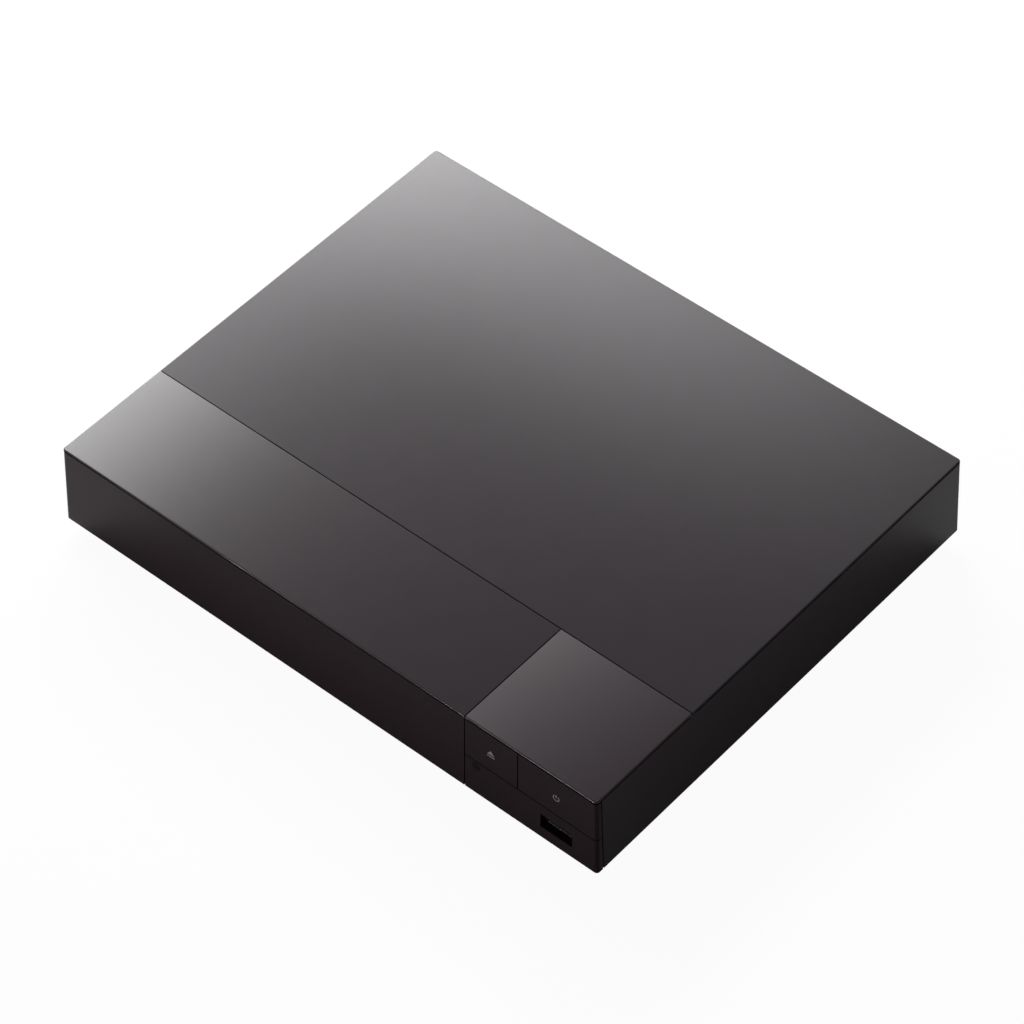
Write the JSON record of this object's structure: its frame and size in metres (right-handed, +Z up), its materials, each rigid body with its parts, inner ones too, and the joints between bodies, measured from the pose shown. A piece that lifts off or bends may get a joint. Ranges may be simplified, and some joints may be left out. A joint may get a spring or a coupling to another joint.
{
  "type": "blu-ray player",
  "caption": "Flat free-standing disc player with a sliding disc tray behind a full-height door plate, push keys, a front USB socket and rear sockets.",
  "frame": {"origin": "on the supporting surface under the middle of the overall box", "axes": "+X to the viewer's right when facing the front, -Y out of the front, +Z up"},
  "size_m": [0.23, 0.194, 0.039],
  "materials": {
    "case_black": "fine satin moulding, warm near-black",
    "panel_satin": "satin top panel with a soft sheen",
    "strip_satin": "smoother satin strip",
    "block_gloss": "polished piano black",
    "front_gloss": "smooth dark front with a slight red tint",
    "window_dark": "dark tinted window",
    "inner_black": "plain moulded inner frame",
    "chassis_steel": "zinc-coated sheet",
    "screw_steel": "plated screws",
    "rubber_black": "matt rubber",
    "loader_plastic": "glass-filled loader moulding",
    "tray_plastic": "fine textured tray",
    "clamp_steel": "stamped bright steel",
    "clamper_white": "natural acetal",
    "gear_white": "natural acetal gears",
    "magnet_grey": "ferrite",
    "motor_steel": "drawn motor can",
    "rod_steel": "ground rod",
    "sled_metal": "die-cast sled",
    "lens_glass": "clear coated lens",
    "holder_black": "moulded lens holder",
    "belt_rubber": "square belt",
    "board_green": "solder mask",
    "chip_black": "chip packages",
    "heatsink_alu": "extruded fins",
    "capacitor_case": "sleeved cans",
    "socket_metal": "plated shell",
    "socket_black": "moulded socket",
    "jack_orange": "coloured jack",
    "flex_cable": "flat cable"
  },
  "bodies": {
    "root": {"upper_case": "case_black", "top_panel": "panel_satin", "front_top_strip": "strip_satin", "corner_block_plate": "block_gloss", "usb_fascia": "front_gloss", "remote_sensor_window": "window_dark", "front_frame": "inner_black", "bottom_chassis": "chassis_steel", "rubber_feet": "rubber_black", "case_screws": "screw_steel", "rear_panel": "case_black", "loader_chassis": "loader_plastic", "loader_screws": "screw_steel", "clamp_bridge": "clamp_steel", "bridge_screws": "screw_steel", "pivot_bushes": "rubber_black", "loading_motor": "motor_steel", "drive_belt": "belt_rubber", "tray_switch": "chip_black", "main_board": "board_green", "board_screws": "screw_steel", "board_chips": "chip_black", "heatsink": "heatsink_alu", "capacitors": "capacitor_case", "hdmi_socket": "socket_metal", "lan_socket": "socket_black", "coax_jack": "jack_orange", "dc_jack": "socket_black", "front_board": "board_green", "usb_socket": "socket_metal", "tact_switches": "chip_black", "ir_receiver": "window_dark", "front_cable": "flex_cable", "pickup_flex": "flex_cable"},
    "tray": {"disc_tray": "tray_plastic", "tray_door": "front_gloss"},
    "drive_gear": {"tray_drive_gear": "gear_white"},
    "idler": {"idler_gear": "gear_white"},
    "belt_gear": {"belt_pulley_gear": "gear_white"},
    "pulley": {"motor_pulley": "gear_white"},
    "cam": {"cam_slider": "clamper_white"},
    "traverse": {"traverse_frame": "chassis_steel", "spindle_motor": "motor_steel", "guide_rods": "rod_steel", "sled_motor": "motor_steel"},
    "spindle": {"spindle_rotor": "motor_steel", "turntable": "holder_black"},
    "clamp": {"clamper": "clamper_white", "clamper_magnet": "magnet_grey"},
    "sled": {"pickup_sled": "sled_metal"},
    "lens": {"lens_holder": "holder_black", "objective_lens": "lens_glass"},
    "screw": {"lead_screw": "rod_steel"},
    "eject_key": {"eject_button": "front_gloss", "eject_plunger": "holder_black"},
    "power_key": {"power_button": "front_gloss", "power_plunger": "holder_black"}
  },
  "joints": [
    {"name": "tray_slide", "type": "slide", "parent": "root", "child": "tray", "axis": [0, -1, 0], "range_m": [0, 0.134]},
    {"name": "drive_gear_spin", "type": "hinge", "parent": "root", "child": "drive_gear", "pos_m": [-0.068, -0.076, 0.01], "axis": [0, 0, 1], "range_deg": [0, 772.8]},
    {"name": "idler_spin", "type": "hinge", "parent": "root", "child": "idler", "pos_m": [-0.048, -0.076, 0.01], "axis": [0, 0, 1], "range_deg": [-1156.6, 0]},
    {"name": "belt_gear_spin", "type": "hinge", "parent": "root", "child": "belt_gear", "pos_m": [-0.0352, -0.076, 0.01], "axis": [0, 0, 1], "range_deg": [0, 1924.4]},
    {"name": "motor_pulley_spin", "type": "hinge", "parent": "root", "child": "pulley", "pos_m": [-0.0032, -0.076, 0.0165], "axis": [0, 0, 1], "range_deg": [0, 6531]},
    {"name": "cam_slide", "type": "slide", "parent": "root", "child": "cam", "axis": [1, 0, 0], "range_m": [0, 0.018]},
    {"name": "traverse_tilt", "type": "hinge", "parent": "root", "child": "traverse", "pos_m": [-0.03, 0.0536, 0.0145], "axis": [1, 0, 0], "range_deg": [0, 4.02]},
    {"name": "spindle_spin", "type": "hinge", "parent": "traverse", "child": "spindle", "pos_m": [-0.03, -0.025, 0.0275], "axis": [0, 0, 1], "continuous": true},
    {"name": "clamper_spin", "type": "hinge", "parent": "root", "child": "clamp", "pos_m": [-0.03, -0.025, 0.0275], "axis": [0, 0, 1], "continuous": true},
    {"name": "sled_slide", "type": "slide", "parent": "traverse", "child": "sled", "axis": [0, 1, 0], "range_m": [0, 0.034], "deforming": ["pickup_flex"]},
    {"name": "lead_screw_spin", "type": "hinge", "parent": "traverse", "child": "screw", "pos_m": [-0.064, -0.001, 0.0192], "axis": [0, 1, 0], "range_deg": [0, 4085]},
    {"name": "lens_focus", "type": "slide", "parent": "sled", "child": "lens", "axis": [0, 0, 1], "range_m": [-0.0004, 0.0004], "stiffness_N_per_m": 60},
    {"name": "eject_press", "type": "slide", "parent": "root", "child": "eject_key", "axis": [0, 1, 0], "range_m": [0, 0.0003], "stiffness_N_per_m": 400, "springref_m": -0.002},
    {"name": "power_press", "type": "slide", "parent": "root", "child": "power_key", "axis": [0, 1, 0], "range_m": [0, 0.0003], "stiffness_N_per_m": 400, "springref_m": -0.002}
  ],
  "couplings": [
    {"joint": "drive_gear_spin", "follows": "tray_slide", "rad_per_m": 100},
    {"joint": "idler_spin", "follows": "tray_slide", "rad_per_m": -150},
    {"joint": "belt_gear_spin", "follows": "tray_slide", "rad_per_m": 250},
    {"joint": "motor_pulley_spin", "follows": "tray_slide", "rad_per_m": 850},
    {"joint": "traverse_tilt", "follows": "cam_slide", "rad_per_m": 3.8785},
    {"joint": "clamper_spin", "follows": "spindle_spin", "ratio": 1},
    {"joint": "lead_screw_spin", "follows": "sled_slide", "rad_per_m": 2094.4}
  ]
}
